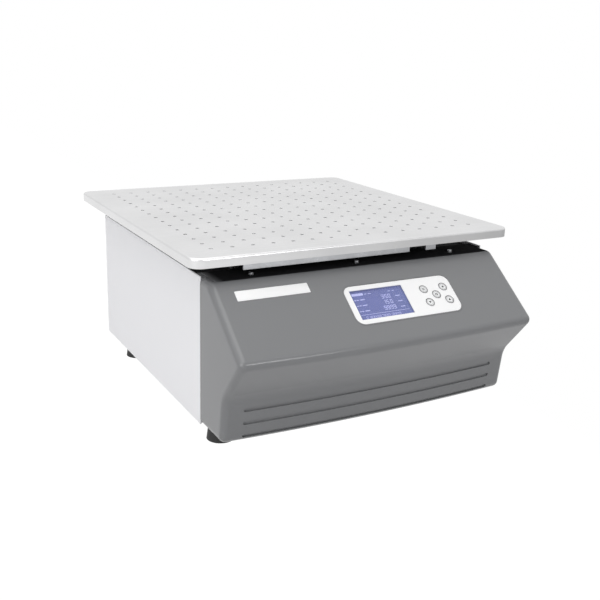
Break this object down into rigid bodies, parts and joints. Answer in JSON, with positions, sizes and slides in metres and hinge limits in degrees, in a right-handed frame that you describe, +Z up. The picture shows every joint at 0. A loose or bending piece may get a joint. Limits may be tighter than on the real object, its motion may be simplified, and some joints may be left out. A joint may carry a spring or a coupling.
{
  "type": "orbital shaker",
  "caption": "Bench-top orbital shaker: a perforated square tray circles over a cabinet with a sloped front, driven by an inner crank, with idler cranks.",
  "frame": {"origin": "middle of the footprint on the surface that the feet stand on", "axes": "+X to the right seen from the control panel, +Y to the rear, +Z up"},
  "size_m": [0.457, 0.5404, 0.228],
  "materials": {
    "stainless_sheet": "brushed stainless sheet",
    "zinc_steel": "zinc-plated steel",
    "turned_steel": "turned and ground steel",
    "bearing_steel": "ground bearing steel",
    "cast_iron": "machined cast iron",
    "white_paint": "white powder coat",
    "black_paint": "black powder coat",
    "primer_grey": "grey primer",
    "grey_moulding": "fine-textured grey moulding",
    "white_panel": "satin white panel",
    "key_white": "satin white keys",
    "clear_window": "clear window",
    "screen_module": "blue screen in a dark bezel",
    "circuit_board": "green circuit board with parts",
    "black_rubber": "moulded black rubber",
    "belt_rubber": "fabric-backed rubber belt",
    "black_plastic": "moulded black plastic",
    "brass": "tinned brass",
    "fuse_glass": "glass tube with metal caps",
    "motor_paint": "black enamel"
  },
  "bodies": {
    "base": {"motor_body": "motor_paint", "motor_plate": "zinc_steel", "motor_standoffs": "zinc_steel", "motor_screws": "zinc_steel", "drive_belt": "belt_rubber", "bearing_pedestal": "primer_grey", "main_bearings": "bearing_steel", "base_screws": "zinc_steel", "pillar_bearings": "bearing_steel", "base_plate": "primer_grey", "side_panel_left": "white_paint", "side_panel_right": "white_paint", "rear_panel": "white_paint", "cabinet_screws": "zinc_steel", "top_deck": "black_paint", "pan_head_screws": "zinc_steel", "foot_screws": "zinc_steel", "front_moulding": "grey_moulding", "keypad_overlay": "white_panel", "display_window": "clear_window", "display_module": "screen_module", "control_board": "circuit_board", "board_screws": "zinc_steel", "drive_board": "circuit_board", "board_spacers": "brass", "mains_inlet": "black_plastic", "inlet_blades": "brass", "power_switch": "black_plastic", "idler_pillar_front_left": "primer_grey", "idler_pillar_front_right": "primer_grey", "idler_pillar_rear_left": "primer_grey", "idler_pillar_rear_right": "primer_grey", "foot_front_left": "black_rubber", "foot_front_right": "black_rubber", "foot_rear_left": "black_rubber", "foot_rear_right": "black_rubber"},
    "main_crank": {"crank_shaft": "turned_steel", "driven_pulley": "cast_iron", "counterweight": "turned_steel", "counterweight_screw": "zinc_steel"},
    "motor_rotor": {"motor_shaft": "turned_steel", "motor_pulley": "cast_iron"},
    "platform": {"platform_plate": "stainless_sheet", "platform_carrier": "zinc_steel", "platform_nuts": "zinc_steel", "crank_pin_bearing": "bearing_steel", "carrier_bearings": "bearing_steel"},
    "idler_front_left": {"idler_crank_front_left": "turned_steel"},
    "idler_front_right": {"idler_crank_front_right": "turned_steel"},
    "idler_rear_left": {"idler_crank_rear_left": "turned_steel"},
    "idler_rear_right": {"idler_crank_rear_right": "turned_steel"},
    "key_upper_left": {"key_upper_left": "key_white"},
    "key_upper_right": {"key_upper_right": "key_white"},
    "key_middle": {"key_middle": "key_white"},
    "key_lower_left": {"key_lower_left": "key_white"},
    "key_lower_right": {"key_lower_right": "key_white"},
    "rocker": {"power_rocker": "black_plastic"},
    "fuse_holder": {"fuse_drawer": "black_plastic", "fuse": "fuse_glass"}
  },
  "joints": [
    {"name": "crank_spin", "type": "hinge", "parent": "base", "child": "main_crank", "pos_m": [0, 0.03175, 0.143], "axis": [0, 0, 1], "continuous": true},
    {"name": "platform_swivel", "type": "hinge", "parent": "main_crank", "child": "platform", "pos_m": [0, 0.04175, 0.203], "axis": [0, 0, 1], "continuous": true},
    {"name": "motor_spin", "type": "hinge", "parent": "base", "child": "motor_rotor", "pos_m": [0, 0.14675, 0.143], "axis": [0, 0, 1], "continuous": true},
    {"name": "idler_front_left_spin", "type": "hinge", "parent": "base", "child": "idler_front_left", "pos_m": [-0.13, -0.09825, 0.194], "axis": [0, 0, 1], "continuous": true},
    {"name": "idler_front_right_spin", "type": "hinge", "parent": "base", "child": "idler_front_right", "pos_m": [0.13, -0.09825, 0.194], "axis": [0, 0, 1], "continuous": true},
    {"name": "idler_rear_left_spin", "type": "hinge", "parent": "base", "child": "idler_rear_left", "pos_m": [-0.13, 0.16175, 0.194], "axis": [0, 0, 1], "continuous": true},
    {"name": "idler_rear_right_spin", "type": "hinge", "parent": "base", "child": "idler_rear_right", "pos_m": [0.13, 0.16175, 0.194], "axis": [0, 0, 1], "continuous": true},
    {"name": "key_upper_left_press", "type": "slide", "parent": "base", "child": "key_upper_left", "axis": [0, 0.6114, -0.7913], "range_m": [0, 0.0004], "stiffness_N_per_m": 600},
    {"name": "key_upper_right_press", "type": "slide", "parent": "base", "child": "key_upper_right", "axis": [0, 0.6114, -0.7913], "range_m": [0, 0.0004], "stiffness_N_per_m": 600},
    {"name": "key_middle_press", "type": "slide", "parent": "base", "child": "key_middle", "axis": [0, 0.6114, -0.7913], "range_m": [0, 0.0004], "stiffness_N_per_m": 600},
    {"name": "key_lower_left_press", "type": "slide", "parent": "base", "child": "key_lower_left", "axis": [0, 0.6114, -0.7913], "range_m": [0, 0.0004], "stiffness_N_per_m": 600},
    {"name": "key_lower_right_press", "type": "slide", "parent": "base", "child": "key_lower_right", "axis": [0, 0.6114, -0.7913], "range_m": [0, 0.0004], "stiffness_N_per_m": 600},
    {"name": "rocker_tilt", "type": "hinge", "parent": "base", "child": "rocker", "pos_m": [0.165, 0.21525, 0.108], "axis": [1, 0, 0], "range_deg": [-22, 0]},
    {"name": "fuse_drawer_slide", "type": "slide", "parent": "base", "child": "fuse_holder", "axis": [0, 1, 0], "range_m": [0, 0.016]}
  ],
  "couplings": [
    {"joint": "platform_swivel", "follows": "crank_spin", "ratio": -1},
    {"joint": "motor_spin", "follows": "crank_spin", "ratio": 3},
    {"joint": "idler_front_left_spin", "follows": "crank_spin", "ratio": 1},
    {"joint": "idler_front_right_spin", "follows": "crank_spin", "ratio": 1},
    {"joint": "idler_rear_left_spin", "follows": "crank_spin", "ratio": 1},
    {"joint": "idler_rear_right_spin", "follows": "crank_spin", "ratio": 1}
  ]
}
